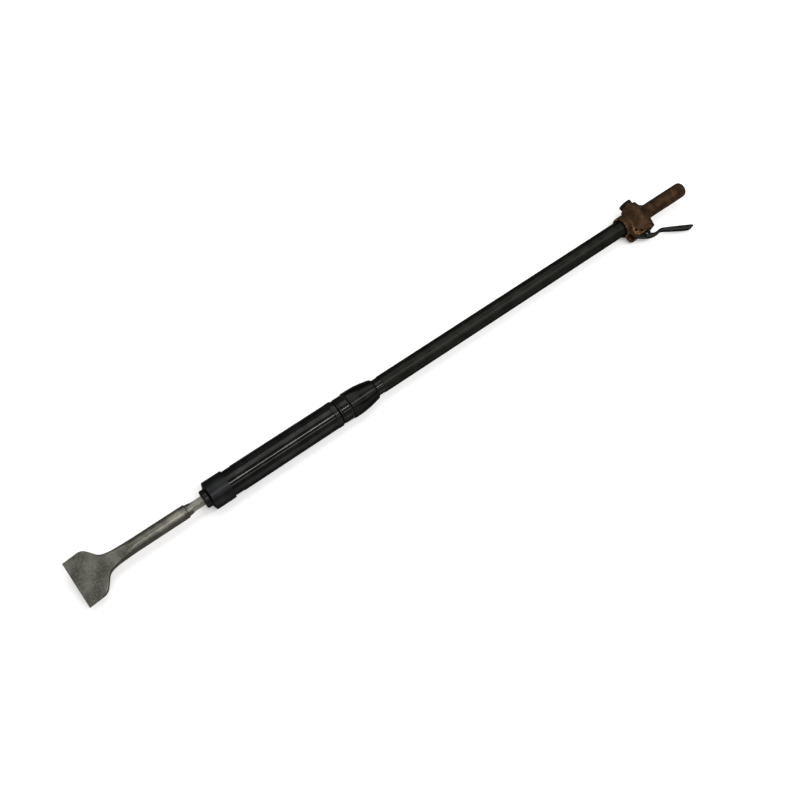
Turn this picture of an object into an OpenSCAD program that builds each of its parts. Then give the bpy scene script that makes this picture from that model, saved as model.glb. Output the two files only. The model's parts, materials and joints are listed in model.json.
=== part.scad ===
// Long-reach pneumatic scaling hammer, lying on a bench.
// +X runs from the air inlet to the chisel's cutting edge and +Z is up.
// The origin is the centre of the air inlet's mouth.

/* [Throttle handle] */
// Distance from the inlet mouth to the axis of the throttle valve
valve_x = 116; // [112:0.5:130]
// Diameter of the cast grip at its inlet end
grip_d = 27.8; // [26:0.2:32]
// Turn of the valve and lever about the tool's axis, as the tool lies
lever_roll = -12; // [-30:1:30]
// Diameter of the round boss that holds the throttle valve
boss_d = 33; // [31:0.5:36]
// Diameter of the hub that the tube screws into
hub_d = 38.8; // [36:0.2:42]
// Radius of the threaded air inlet
inlet_r = 7.9; // [7:0.1:8.2]
// Width of the lever strip
lever_w = 9.8; // [7:0.2:10.2]
// Widest part of the lever, at its tip
lever_tip_w = 10.8; // [9:0.2:14]

/* [Tube] */
// Length of the tube between the throttle body and the coupling
tube_shown = 545; // [200:1:900]
// Outer diameter of the tube
tube_d = 29.6; // [28:0.1:29.6]
// Bore of the tube
tube_bore = 21; // [16:0.5:23]

/* [Hammer] */
// Length of the coupling between the tube and the barrel
coupling_len = 53; // [48:1:70]
// Largest diameter of the coupling
coupling_d = 47.5; // [46:0.5:52]
// Width of the coupling across its flats
coupling_flats = 45; // [44:0.5:46]
// Length of the spacer ring
spacer_len = 14.6; // [12:0.2:18]
// Length of the lock ring, with its cone
lock_ring_len = 11.4; // [10:0.2:16]
// Outer diameter of the barrel
barrel_d = 44.5; // [44:0.1:46]
// Length of the barrel between the lock ring and the sleeve
barrel_shown = 192; // [175:1:260]
// Diameter of the piston
piston_d = 28.48; // [27:0.01:28.5]
// Stroke of the piston
piston_stroke = 75; // [40:1:80]
// Diameter of the retainer sleeve
sleeve_d = 47.5; // [46:0.5:52]
// Length of the retainer sleeve
sleeve_len = 36; // [35:0.5:44]

/* [Chisel] */
// Width of the cutting edge
blade_w = 76.2; // [60:0.1:90]
// Turn of the blade about the tool's axis, as the tool lies
blade_roll = -15; // [-90:1:90]
// Sideways run-out of the forged blade at its cutting edge
blade_drift = 3.4; // [0:0.1:4]
// Distance from the nose to the cutting edge
chisel_reach = 213; // [200:1:300]
// Diameter of the round shank
shank_d = 22.2; // [20:0.1:26]
// Width across the flats of the hexagonal shank
hex_af = 14.7; // [14.6:0.05:14.7]

/* [Hidden] */

$fn = 96;
eps = 0.5;             // how far a cutter reaches past the face it cuts
seat_gap = 0.02;       // radial gap between parts that are screwed or pressed together
run_gap = 0.05;        // radial gap of a running fit

// Stations along X, from the inlet mouth to the cutting edge
hub_face_x = valve_x + 41.5;
tube_end_x = hub_face_x - 21;
tube_step = 0.9;        // how much the tube is turned down for the coupling
coupling_x = hub_face_x + tube_shown + 8;
tube_neck_x = coupling_x - 14;
tube_front_x = coupling_x + 21;
coupling_front_x = coupling_x + coupling_len;
spacer_x = coupling_front_x + 2;
washer_x = spacer_x + spacer_len;
lock_ring_x = washer_x + 3;
barrel_x = lock_ring_x + lock_ring_len;
sleeve_x = barrel_x + barrel_shown;
sleeve_front_x = sleeve_x + sleeve_len;
nose_x = sleeve_front_x + 8;
edge_x = nose_x + chisel_reach;

// Barrel and valve parts
bore_r = piston_d / 2 + 0.06;
spigot_r = 19;
valve_r = 16.8;
spigot_x = coupling_front_x - 22;
valve_stop_x = barrel_x - 13;
nose_thread_r = 20;
barrel_front_x = sleeve_front_x - 11;
flats_roll = -24;       // turn of the two spanner flats of the barrel
ridge_turn = 27;        // turn of the hexagons of the coupling and the lock ring

// Chisel retention inside the nose
hex_gap = 0.05;
neck_r = 6.5;
ring_x = nose_x - 11;
ring_w = 3;
shank_end_x = nose_x - 69;
chisel_in = 6;
piston_front_x = shank_end_x - chisel_in - 0.5;
piston_len = 60;
piston_nose = 15;

// Throttle group, in its own frame: x along the tool, y towards the lever, z across the lever
grip_r = grip_d / 2;
boss_r = boss_d / 2;
boss_top_y = -27.4;
block_y = 31.5;
block_half_w = 11.5;     // from the throttle's middle plane to the near cheek
block_far_w = 13.2;      // and to the far cheek
far_cheek_ahead = 4.2;    // how far the far cheek stands ahead of the near one
chamber_r = 8.2;
seat_y = 2.5;
passage_r = 5;
gland_r = 5.2;
gland_collar_r = 7;
inlet_len = 22;         // length of the inlet's thread
strainer_x = 23.5;      // the strainer sits in the groove behind the thread
strainer_r = inlet_r + 0.5;
plunger_r = 3;
plunger_tip_y = 37.7;
pivot = [valve_x + 17.3, 26.9];
pivot_r = 2;
stop_pin = [valve_x + 25.8, 20.3];
stop_pin_r = 1.6;
slot_w = 10.6;
tang_w = [-4.9, 1.1];    // the lever's tang, which fills the narrow part of the slot
pin_z = [-11.8, 6.4];    // the cross pins end below the faces of both cheeks

steel_black = [0.13, 0.13, 0.14];
steel_dark = [0.2, 0.2, 0.21];
steel_bright = [0.62, 0.62, 0.64];
steel_forged = [0.48, 0.47, 0.44];
bronze = [0.42, 0.29, 0.19];
rubber_black = [0.06, 0.06, 0.06];
fibre_red = [0.45, 0.16, 0.1];

// A turned solid from a profile of [radius, x] points
module turned(profile) rotate([0, 90, 0]) rotate_extrude() polygon(profile);

// A round bar along X
module bar_x(x0, x1, r, y = 0, z = 0)
    translate([x0, y, z]) rotate([0, 90, 0]) cylinder(h = x1 - x0, r = r);

// A plain ring along X
module ring_x(x0, x1, outer, inner) difference() {
    bar_x(x0, x1, outer);
    bar_x(x0 - eps, x1 + eps, inner);
}

// A hexagonal bar along X, by its width across flats
module hex_x(x0, x1, across_flats)
    translate([x0, 0, 0]) rotate([0, 90, 0]) cylinder(h = x1 - x0, d = across_flats / cos(30), $fn = 6);

// A round bar along Y in the throttle frame
module bar_y(x, y0, y1, r) translate([x, y0, 0]) rotate([-90, 0, 0]) cylinder(h = y1 - y0, r = r);

// A round bar along Z in the throttle frame
module bar_z(at, half_len, r) translate([at[0], at[1], -half_len]) cylinder(h = 2 * half_len, r = r);

module throttle_frame() rotate([lever_roll, 0, 0]) children();

// Points of an arc, from angle a0 to angle a1
function arc(centre, r, a0, a1, steps) = [for (i = [0 : steps])
    let (a = a0 + (a1 - a0) * i / steps) centre + r * [cos(a), sin(a)]];

// ---- Chisel ----

blade_side = blade_w / 2;
blade_straight = 24;      // length of the blade's parallel sides
shoulder_r = 17;          // outer round of the blade's shoulder
waist_r = 21;             // inner round where the blade meets the neck
neck_start = 52;          // where the waist ends, from the cutting edge
flat_run = 97;            // where the flat faces run out into the round shank

// Half outline of the blade, as [distance from the edge, half width]
shoulder_turn = 52;
shoulder_end = [blade_straight, blade_side - shoulder_r]
    + shoulder_r * [sin(shoulder_turn), cos(shoulder_turn)];
waist_turn = 40;
function blade_half() = concat(
    [[0, 0], [0, blade_side]],
    arc([blade_straight, blade_side - shoulder_r], shoulder_r, 90, 90 - shoulder_turn, 8),
    arc([neck_start, 15 + waist_r], waist_r, 180 + shoulder_turn, 270 - 8, 6),
    [[60, 12.9], [72, 11.7], [flat_run, shank_d / 2], [flat_run, 0]]);

module blade_plan() for (side = [-1, 1]) polygon([for (p = blade_half())
    [p[0], side * p[1] + blade_drift * max(0, 1 - p[0] / neck_start)]]);

// Side view of the blade: thin at the edge, thickening to the shank
blade_side_view = [[0, -0.7], [6, -1.5], [30, -3.8], [60, -7], [flat_run, -shank_d / 2],
    [flat_run, shank_d / 2], [60, 7], [30, 3.8], [6, 1.5], [0, 0.7]];

module blade() rotate([blade_roll, 0, 0]) translate([edge_x, 0, 0]) mirror([1, 0, 0]) intersection() {
    translate([0, 0, -20]) linear_extrude(40) blade_plan();
    translate([0, 50, 0]) rotate([90, 0, 0]) linear_extrude(100) polygon(blade_side_view);
}

module chisel() {
    shank_x = nose_x + 28;       // rear of the round shank
    hex_x0 = shank_end_x + 9;
    neck_x0 = ring_x - 11;
    color(steel_forged) {
        blade();
        turned([[0, edge_x - flat_run - eps], [0, shank_x - 12], [hex_af / 2, shank_x - 12],
            [8.6, shank_x - 3.5], [shank_d / 2 - 0.9, shank_x], [shank_d / 2, shank_x + 1.5],
            [shank_d / 2, edge_x - flat_run - eps]]);
        bar_x(edge_x - flat_run - 1, edge_x - flat_run + 1, shank_d / 2);
        hex_x(neck_x0 + 21, shank_x - 4, hex_af);
        bar_x(neck_x0 - 1, neck_x0 + 22, neck_r);
        hex_x(hex_x0, neck_x0, hex_af);
        bar_x(shank_end_x, hex_x0 + 1, 6.4);
    }
}

// ---- Nose ----

// Hardened guide for the chisel's shank: hub outside, flange inside the sleeve, body in the barrel
module nose_bushing() color(steel_dark) difference() {
    turned([[0, barrel_front_x - 32], [bore_r - 0.03, barrel_front_x - 32],
        [bore_r - 0.03, barrel_front_x], [19.4, barrel_front_x], [19.4, barrel_front_x + 4],
        [14.8, barrel_front_x + 4], [14.8, nose_x - 2], [12.8, nose_x], [0, nose_x]]);
    hex_x(barrel_front_x - 33, nose_x + 1, hex_af + 2 * hex_gap);
    bar_x(ring_x, ring_x + ring_w, 9.7);
    for (turn = [20 : 90 : 290]) rotate([turn, 0, 0])
        translate([nose_x - 1.8, -1.6, 10]) cube([4, 3.2, 6]);
}

// Split spring ring that stops the chisel from leaving the nose
module retaining_ring() color(steel_bright) difference() {
    ring_x(ring_x + 0.1, ring_x + ring_w - 0.1, 9.6, 6.9);
    translate([ring_x - 1, 0, -1]) cube([ring_w + 2, 12, 2]);
}

module retainer_buffer() color(rubber_black)
    ring_x(barrel_front_x + 4.02, sleeve_front_x - 4.22, 19.4, 15.1);

// Screwed sleeve that clamps the nose bushing against the barrel
module retainer_sleeve() color(steel_black) difference() {
    turned([[0, sleeve_x], [sleeve_d / 2 - 0.5, sleeve_x], [sleeve_d / 2, sleeve_x + 0.5],
        [sleeve_d / 2, sleeve_front_x - 3.4], [sleeve_d / 2 - 0.8, sleeve_front_x - 2.6],
        [16.5, sleeve_front_x], [0, sleeve_front_x]]);
    bar_x(sleeve_x - 1, sleeve_front_x - 4.2, nose_thread_r + seat_gap);
    bar_x(sleeve_x, sleeve_front_x + 1, 15);
}

// ---- Barrel and its moving parts ----

module barrel() color(steel_black) difference() {
    union() {
        bar_x(spigot_x, barrel_x + 1, spigot_r);
        turned([[0, barrel_x], [barrel_d / 2 - 0.6, barrel_x], [barrel_d / 2, barrel_x + 0.6],
            [barrel_d / 2, sleeve_x - 0.02], [0, sleeve_x - 0.02]]);
        bar_x(sleeve_x - 1, barrel_front_x, nose_thread_r);
    }
    bar_x(spigot_x - 1, barrel_front_x + 1, bore_r);
    bar_x(spigot_x - 1, valve_stop_x, valve_r);
    // Two spanner flats beside the sleeve
    rotate([flats_roll, 0, 0]) for (side = [-1, 1])
        translate([sleeve_x - 15, side * 26.1 - 5, -30]) cube([20, 10, 60]);
    // Air ways to the front of the piston
    for (turn = [0 : 90 : 270]) rotate([turn, 0, 0]) {
        bar_x(valve_stop_x - 1, shank_end_x - 4, 1.2, y = 16.9);
        translate([shank_end_x - 5.2, 13, 0]) rotate([-90, 0, 0]) cylinder(h = 4, r = 1.2);
    }
    // Exhaust ports, on the underside
    for (turn = [-20, 20]) rotate([180 + turn, 0, 0])
        translate([barrel_x + 62, 0, 10]) cylinder(h = 20, r = 2);
}

module piston() {
    tip = piston_front_x;
    rear = tip - piston_nose - piston_len;
    color(steel_bright) turned([[0, rear], [piston_d / 2 - 1, rear], [piston_d / 2, rear + 1],
        [piston_d / 2, rear + 24], [piston_d / 2 - 1, rear + 25], [piston_d / 2 - 1, rear + 29],
        [piston_d / 2, rear + 30], [piston_d / 2, tip - piston_nose - 1],
        [piston_d / 2 - 1, tip - piston_nose], [8, tip - piston_nose], [8, tip - 1], [7, tip], [0, tip]]);
}

block_len = 12;
box_len = 20;
cover_len = 5;
box_x = valve_stop_x - block_len - box_len;

module ports(x0, x1, radius, count, port_r) for (i = [0 : count - 1])
    rotate([i * 360 / count + 15, 0, 0]) bar_x(x0 - eps, x1 + eps, port_r, y = radius);

module dowel_holes(x0, x1, r) for (turn = [0, 180]) rotate([turn, 0, 0]) bar_x(x0, x1, r, y = 14.6);

module valve_seat_block() color(steel_dark) difference() {
    bar_x(box_x + box_len, valve_stop_x, valve_r - seat_gap);
    bar_x(box_x + box_len - 1, valve_stop_x + 1, 4);
    ports(box_x + box_len, valve_stop_x, 8.5, 6, 1.5);
    dowel_holes(box_x + box_len - 1, box_x + box_len + 6, 1.2 + seat_gap);
}

module valve_box() color(steel_dark) difference() {
    bar_x(box_x, box_x + box_len, valve_r - seat_gap);
    bar_x(box_x - 1, box_x + box_len + 1, 10.5);
    dowel_holes(box_x - 1, box_x + box_len + 1, 1.2 + seat_gap);
}

// Spool that shuttles in the valve box and sends the air to each end of the piston in turn
module distributor_valve() color(steel_bright) difference() {
    turned([[0, box_x + 4], [10.5 - run_gap, box_x + 4], [10.5 - run_gap, box_x + 8], [9, box_x + 8.5],
        [9, box_x + 14.5], [10.5 - run_gap, box_x + 15], [10.5 - run_gap, box_x + 19.5], [0, box_x + 19.5]]);
    bar_x(box_x + 3, box_x + 21, 6.5);
}

module valve_cover() color(steel_dark) difference() {
    bar_x(box_x - cover_len, box_x, valve_r - seat_gap);
    ports(box_x - cover_len, box_x, 6, 6, 1.6);
    dowel_holes(box_x - 2.5, box_x + 1, 1.2 + seat_gap);
}

module valve_dowels() color(steel_bright) dowel_holes(box_x - 2.4, box_x + box_len + 5.9, 1.2);

module valve_spring_washer() color(steel_bright)
    ring_x(spigot_x - 0.98, box_x - cover_len, 16.6, 12);

// ---- Rings between the barrel and the coupling ----

module barrel_lock_ring() color(steel_black) difference() {
    intersection() {
        turned([[0, lock_ring_x], [19.6, lock_ring_x], [barrel_d / 2 + 0.5, lock_ring_x + 3.2],
            [barrel_d / 2 + 0.5, barrel_x - 0.6], [barrel_d / 2 - 0.1, barrel_x - 0.02],
            [0, barrel_x - 0.02]]);
        rotate([ridge_turn, 0, 0]) hex_x(lock_ring_x - 1, barrel_x + 1, barrel_d);
    }
    bar_x(lock_ring_x - 1, barrel_x + 1, spigot_r + seat_gap);
}

module lock_washer() color(steel_black)
    ring_x(washer_x, lock_ring_x - 0.02, 20.8, spigot_r + seat_gap);

module spacer_ring() color(steel_black) difference() {
    turned([[0, spacer_x], [20.9, spacer_x], [21.5, spacer_x + 0.6], [21.5, washer_x - 0.9],
        [20.9, washer_x - 0.3], [0, washer_x - 0.02]]);
    bar_x(spacer_x - 1, washer_x + 1, spigot_r + seat_gap);
}

module coupling_seal() color(rubber_black)
    ring_x(coupling_front_x + 0.02, spacer_x - 0.02, 20.2, spigot_r + seat_gap);

// ---- Coupling and tube ----

coupling_r = coupling_d / 2;
// Radius of the coupling's ogive at a distance from its front face
function ogive(from_front) = coupling_r - from_front * from_front / 420;

module tube_coupling() color(steel_black) difference() {
    intersection() {
        turned(concat([[0, coupling_x], [ogive(coupling_len) - 0.8, coupling_x]],
            [for (i = [0 : 10]) let (d = coupling_len - 0.8 - (coupling_len - 3) * i / 10)
                [ogive(d), coupling_front_x - d]],
            [[coupling_r - 2, coupling_front_x], [0, coupling_front_x]]));
        rotate([ridge_turn, 0, 0]) hex_x(coupling_x - 1, coupling_front_x + 1, coupling_flats);
    }
    bar_x(spigot_x - 1, coupling_front_x + 1, spigot_r + seat_gap);
    bar_x(coupling_x - 1, tube_front_x + 2, tube_d / 2 - tube_step + seat_gap);
    bar_x(tube_front_x, spigot_x, 9);
}

module coupling_gasket() color(fibre_red)
    ring_x(tube_front_x + 0.02, tube_front_x + 2, tube_d / 2 - tube_step - 0.05, tube_bore / 2);

module handle_tube() color(steel_black) difference() {
    turned([[0, tube_end_x], [tube_d / 2, tube_end_x], [tube_d / 2, tube_neck_x - 1],
        [tube_d / 2 - tube_step, tube_neck_x], [tube_d / 2 - tube_step, tube_front_x], [0, tube_front_x]]);
    bar_x(tube_end_x - 1, tube_front_x + 1, tube_bore / 2);
}

module tube_gasket() color(fibre_red)
    ring_x(tube_end_x - 2, tube_end_x - 0.02, tube_d / 2 - 0.05, tube_bore / 2);

// ---- Throttle body ----

module grip() {
    mouth_r = 8.6;
    end_len = 5.5;
    turned(concat([[0, 0]],
        [for (a = [-90 : 9 : 0]) [mouth_r + (grip_r - mouth_r) * cos(a), end_len + end_len * sin(a)]],
        [[grip_r, 30], [grip_r - 0.3, 60], [grip_r - 0.3, valve_x], [0, valve_x]]));
}

module hub() {
    lip = 0.8;
    lip_len = 2.2;
    turned(concat([[0, valve_x], [hub_d / 2, valve_x]],
        [for (a = [0 : 9 : 90]) [hub_d / 2 - lip + lip * cos(a), hub_face_x + lip_len * (sin(a) - 1)]],
        [[0, hub_face_x]]));
}

module valve_boss() translate([valve_x, 0, 0]) rotate([-90, 0, 0]) rotate_extrude()
    polygon(concat([[0, boss_top_y], [12.6, boss_top_y], [13.4, boss_top_y + 1.6]],
        arc([boss_r - 1.4, boss_top_y + 4.4], 1.4, -90, 0, 4), [[boss_r, 22], [boss_r - 3, 26], [0, 26]]));

// Fillet between the boss and the grip, and the waist behind the hub
module body_core() {
    turned([[0, valve_x - 30], [grip_r - 0.3, valve_x - 30], [grip_r + 0.9, valve_x - 24],
        [grip_r + 3.4, valve_x - 17], [hub_d / 2 - 1.2, valve_x - 8], [hub_d / 2, valve_x], [0, valve_x]]);
}

// Block for the lever: narrower at its rear, with its front edges cut back
module lower_block() {
    front = valve_x + 33;
    far_front = front + far_cheek_ahead;
    rear = valve_x - 13.5;
    near = [[rear - 3, 8.8], [rear + 10, block_half_w], [front - 4, block_half_w],
        [front - 1, block_half_w - 1.5], [front, block_half_w - 4.5]];
    far = [[front, 0], [far_front, 0], [far_front, -block_far_w + 1], [far_front - 1, -block_far_w],
        [rear + 10, -block_far_w], [rear - 3, -10]];
    intersection() {
        translate([0, 0, -block_far_w]) linear_extrude(block_half_w + block_far_w)
            polygon(concat([[rear - 2, 0], [far_front, 0]],
                arc([far_front - 4.5, block_y - 4.5], 4.5, 0, 90, 6),
                arc([rear + 4, block_y - 5], 5, 90, 170, 6)));
        translate([0, block_y + 1, 0]) rotate([90, 0, 0]) linear_extrude(block_y + 2)
            polygon(concat(near, far));
    }
}

module throttle_body() color(bronze) throttle_frame() difference() {
    union() {
        grip();
        hub();
        valve_boss();
        body_core();
        lower_block();
    }
    // Air inlet
    bar_x(-1, inlet_len, inlet_r);
    bar_x(inlet_len - 0.01, strainer_x + 2, strainer_r + seat_gap);
    bar_x(strainer_x, valve_x, passage_r, y = -4);
    // Socket for the tube, and the way out to it
    bar_x(tube_end_x - 2.02, hub_face_x + 1, tube_d / 2 + seat_gap);
    bar_x(hub_face_x - 3.5, hub_face_x + 1, tube_d / 2 + 1.4);
    bar_x(tube_end_x - 5, tube_end_x, 12.5);
    bar_x(valve_x, tube_end_x - 3, 3.8, y = 8);
    // Valve chamber, plunger bore and gland seat
    bar_y(valve_x, boss_top_y - 1, -15.6, 9);
    bar_y(valve_x, -16, seat_y + 4, chamber_r);
    bar_y(valve_x, seat_y + 3, 16, 6.5);
    bar_y(valve_x, 15, 21, plunger_r + 0.06);
    bar_y(valve_x, 20.2, block_y + 1, gland_r);
    // Slot for the lever, and the two cross pins
    translate([valve_x + 7, 18.4, -slot_w / 2]) cube([6, 20, slot_w]);
    translate([valve_x + 12, 18.4, -slot_w / 2]) cube([40, 20, slot_w / 2 + tang_w[1] + 0.4]);
    bar_z(pivot, 30, pivot_r);
    bar_z(stop_pin, 30, stop_pin_r);
}

module inlet_strainer() color(steel_bright) throttle_frame() difference() {
    bar_x(strainer_x + 0.5, strainer_x + 1.98, strainer_r);
    for (y = [-6 : 3 : 6], z = [-6 : 3 : 6]) if (norm([y, z]) < inlet_r - 1.7)
        translate([strainer_x, y, z]) rotate([0, 90, 0]) cylinder(h = 3, r = 0.9);
}

// ---- Throttle valve ----

cap_r = 12.2;
cap_top_y = -34.5;

module valve_cap() color(rubber_black) throttle_frame()
    translate([valve_x, 0, 0]) rotate([-90, 0, 0]) difference() {
        rotate_extrude() polygon([[0, cap_top_y], [cap_r - 0.9, cap_top_y], [cap_r, cap_top_y + 0.9],
            [cap_r, boss_top_y - 1], [8.97, boss_top_y - 1], [8.97, -17], [0, -17]]);
        translate([0, 0, -25]) cylinder(h = 10, r = 7.1);
    }

module cap_gasket() color(fibre_red) throttle_frame()
    translate([valve_x, boss_top_y - 0.99, 0]) rotate([-90, 0, 0]) difference() {
        cylinder(h = 0.98, r = 10.2);
        translate([0, 0, -1]) cylinder(h = 3, r = 9);
    }

spring_wire_r = 0.55;
spring_r = 6;
spring_turns = 7;
spring_y = [-24.4, -2.1];

// One ring of the spring's wire, as eight points around the helix at a given turn
function wire_ring(turn) = [for (i = [0 : 7])
    let (a = 360 * turn, b = 45 * i, r = spring_r + spring_wire_r * cos(b),
        y = spring_y[0] + (spring_y[1] - spring_y[0]) * turn / spring_turns + spring_wire_r * sin(b))
    [r * cos(a), y, r * sin(a)]];
spring_rings = spring_turns * 18;
function spring_points() = [for (k = [0 : spring_rings]) each wire_ring(spring_turns * k / spring_rings)];
function spring_faces() = concat(
    [[for (i = [0 : 7]) i]], [[for (i = [7 : -1 : 0]) spring_rings * 8 + i]],
    [for (k = [0 : spring_rings - 1], i = [0 : 7])
        [k * 8 + i, (k + 1) * 8 + i, (k + 1) * 8 + (i + 1) % 8, k * 8 + (i + 1) % 8]]);

module throttle_spring() color(steel_bright) throttle_frame() translate([valve_x, 0, 0])
    polyhedron(spring_points(), spring_faces());

module throttle_valve() color(steel_bright) throttle_frame() {
    bar_y(valve_x, -9, -1, 2.5);
    bar_y(valve_x, -1.5, seat_y - 0.01, 6.9);
    bar_y(valve_x, 1, 15, 2.8);
}

module valve_seat_bush() color(bronze) throttle_frame() difference() {
    bar_y(valve_x, seat_y, seat_y + 3.98, chamber_r - seat_gap);
    bar_y(valve_x, seat_y - 1, seat_y + 5, 4.8);
}

module plunger() color(steel_dark) throttle_frame()
    translate([valve_x, 0, 0]) rotate([-90, 0, 0]) rotate_extrude()
        polygon([[0, 15.01], [plunger_r, 15.01], [plunger_r, plunger_tip_y - 1.8],
            [1.2, plunger_tip_y], [0, plunger_tip_y]]);

module plunger_gland() color(steel_black) throttle_frame() difference() {
    union() {
        bar_y(valve_x, 22, block_y, gland_r - seat_gap);
        bar_y(valve_x, block_y, 33, gland_collar_r);
    }
    bar_y(valve_x, 21, 34, plunger_r + 0.06);
}

module plunger_seal() color(rubber_black) throttle_frame() difference() {
    bar_y(valve_x, 20.3, 21.98, gland_r - 0.05);
    bar_y(valve_x, 20, 23, plunger_r + 0.06);
}

// ---- Lever ----

// Outline of the lever seen along its pivot: the outer side, then the inner side back to the nose
lever_outline = concat(
    [[valve_x + 29.2, 29.2], [valve_x + 24, 33], [valve_x + 16, 38.6], [valve_x + 8.5, 43],
        [valve_x + 1, 45.5], [valve_x - 6, 46.9], [valve_x - 12, 46.8], [valve_x - 19, 45.8],
        [valve_x - 23.5, 46.7], [valve_x - 30.5, 51], [valve_x - 41, 56.9], [valve_x - 60, 67.1],
        [valve_x - 69, 71]],
    arc([valve_x - 75.2, 69.3], 3, 80, 240, 8),
    [[valve_x - 70, 64.4], [valve_x - 60, 59.3], [valve_x - 31.5, 45.5],
        [valve_x - 27.2, 43.4], [valve_x - 23, 41.2], [valve_x - 18, 41],
        [valve_x - 10, 42.4], [valve_x - 6, 42.4], [valve_x - 1.8, 40], [valve_x + 1, 38],
        [valve_x + 3.4, 38], [valve_x + 9.6, 36.2], [valve_x + 10.4, 30], [valve_x + 12, 23.6]],
    arc([valve_x + 17.3, 25.5], 4.6, 200, 270, 4),
    [[valve_x + 20.6, 22.1], [valve_x + 28.6, 22.1]]);

module throttle_lever() color(steel_dark) throttle_frame() difference() {
    union() {
        translate([0, 0, -lever_w / 2]) linear_extrude(lever_w) polygon(lever_outline);
        // The strip spreads a little at its tip
        translate([0, 0, -lever_tip_w / 2]) intersection() {
            linear_extrude(lever_tip_w) polygon(lever_outline);
            translate([valve_x - 80, 40, 0]) cube([20, 40, lever_tip_w]);
        }
    }
    bar_z(pivot, 10, pivot_r + run_gap);
    translate([valve_x + 11.6, 0, tang_w[1]]) cube([30, 60, lever_w]);
}

module cross_pin(at, r) translate([at[0], at[1], pin_z[0]]) cylinder(h = pin_z[1] - pin_z[0], r = r);

module lever_pivot_pin() color(steel_dark) throttle_frame() cross_pin(pivot, pivot_r - 0.005);

module lever_stop_pin() color(steel_dark) throttle_frame() cross_pin(stop_pin, stop_pin_r - 0.005);

chisel();
nose_bushing();
retaining_ring();
retainer_buffer();
retainer_sleeve();
barrel();
piston();
valve_seat_block();
valve_box();
distributor_valve();
valve_cover();
valve_dowels();
valve_spring_washer();
barrel_lock_ring();
lock_washer();
spacer_ring();
coupling_seal();
tube_coupling();
coupling_gasket();
handle_tube();
tube_gasket();
throttle_body();
valve_cap();
cap_gasket();
throttle_spring();
throttle_valve();
valve_seat_bush();
plunger();
plunger_gland();
plunger_seal();
throttle_lever();
lever_pivot_pin();
lever_stop_pin();
inlet_strainer();
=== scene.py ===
import json
import math

import bpy
import numpy as np
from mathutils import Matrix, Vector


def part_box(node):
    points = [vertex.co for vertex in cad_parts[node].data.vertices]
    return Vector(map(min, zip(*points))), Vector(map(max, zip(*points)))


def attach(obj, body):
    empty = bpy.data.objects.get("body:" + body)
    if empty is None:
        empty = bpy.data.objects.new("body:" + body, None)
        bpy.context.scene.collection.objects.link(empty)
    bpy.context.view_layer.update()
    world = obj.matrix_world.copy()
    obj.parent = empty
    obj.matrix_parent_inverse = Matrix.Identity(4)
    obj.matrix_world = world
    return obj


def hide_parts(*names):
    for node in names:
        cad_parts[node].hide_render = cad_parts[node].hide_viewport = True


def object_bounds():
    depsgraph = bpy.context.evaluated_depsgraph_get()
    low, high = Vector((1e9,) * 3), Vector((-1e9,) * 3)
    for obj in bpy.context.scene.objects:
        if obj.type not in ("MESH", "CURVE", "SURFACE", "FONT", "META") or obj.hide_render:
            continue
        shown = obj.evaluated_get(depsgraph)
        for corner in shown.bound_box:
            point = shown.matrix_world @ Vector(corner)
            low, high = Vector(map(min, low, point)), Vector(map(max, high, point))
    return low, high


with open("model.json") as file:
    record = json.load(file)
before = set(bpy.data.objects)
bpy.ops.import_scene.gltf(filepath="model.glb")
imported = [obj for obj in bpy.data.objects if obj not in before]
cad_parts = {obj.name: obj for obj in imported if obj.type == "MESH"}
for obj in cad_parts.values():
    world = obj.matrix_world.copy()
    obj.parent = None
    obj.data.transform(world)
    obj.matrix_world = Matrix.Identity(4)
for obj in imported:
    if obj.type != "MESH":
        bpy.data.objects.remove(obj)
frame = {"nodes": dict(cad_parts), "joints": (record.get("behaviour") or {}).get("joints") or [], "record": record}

import openvdb
from mathutils import Matrix, Vector, noise

cad_bounds = [list(corner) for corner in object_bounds()]

# ---------------------------------------------------------------- places, in millimetres
MM = 0.001


def span(node, axis=0):
    """Where a CAD node starts and ends along an axis of the frame."""
    low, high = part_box(node)
    return low[axis] / MM, high[axis] / MM


hinge = next(j for j in frame["joints"] if j["name"] == "throttle_lever_hinge")
ROLL = -math.atan2(hinge["axis"][1], hinge["axis"][2])
TO_THROTTLE = Matrix.Rotation(-ROLL, 3, "X")
FROM_THROTTLE = Matrix.Rotation(ROLL, 3, "X")
PIVOT = TO_THROTTLE @ (Vector(hinge["pos_m"]) / MM)

EDGE_X = span("chisel")[1]
SHANK_END_X = span("chisel")[0]
NOSE_X = span("nose_bushing")[1]
BUSHING_X = span("nose_bushing")[0]
SLEEVE_X, SLEEVE_FRONT_X = span("retainer_sleeve")
SPIGOT_X, BARREL_FRONT_X = span("barrel")
LOCK_RING_X, BARREL_X = span("barrel_lock_ring")
WASHER_X = span("lock_washer")[0]
SPACER_X = span("spacer_ring")[0]
COUPLING_X, COUPLING_FRONT_X = span("tube_coupling")
TUBE_X, TUBE_FRONT_X = span("handle_tube")
HUB_FACE_X = span("throttle_body")[1]
VALVE_X = sum(span("plunger")) / 2
STOP_PIN = TO_THROTTLE @ Vector([sum(span("lever_stop_pin", axis)) / 2 for axis in range(3)])

SLEEVE_R = (span("retainer_sleeve", 2)[1] - span("retainer_sleeve", 2)[0]) / 2
BARREL_R = span("barrel", 2)[1]
TUBE_R = span("handle_tube", 2)[1]
NECK_R = TUBE_R - 0.9
RING_BORE_R = 19.02        # of the rings on the barrel's spigot, and of the coupling's socket
SLEEVE_BORE_R = 20.02
TUBE_BORE_R = 10.5
GUIDE_R = 14.3             # of the barrel's bore behind the bushing
VALVE_BORE_R = 16.8        # of the barrel's bore round the distributor valve
FLOOR_Z = cad_bounds[0][2]


# ---------------------------------------------------------------- mesh tools
FILLET_POINTS = 5


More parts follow.
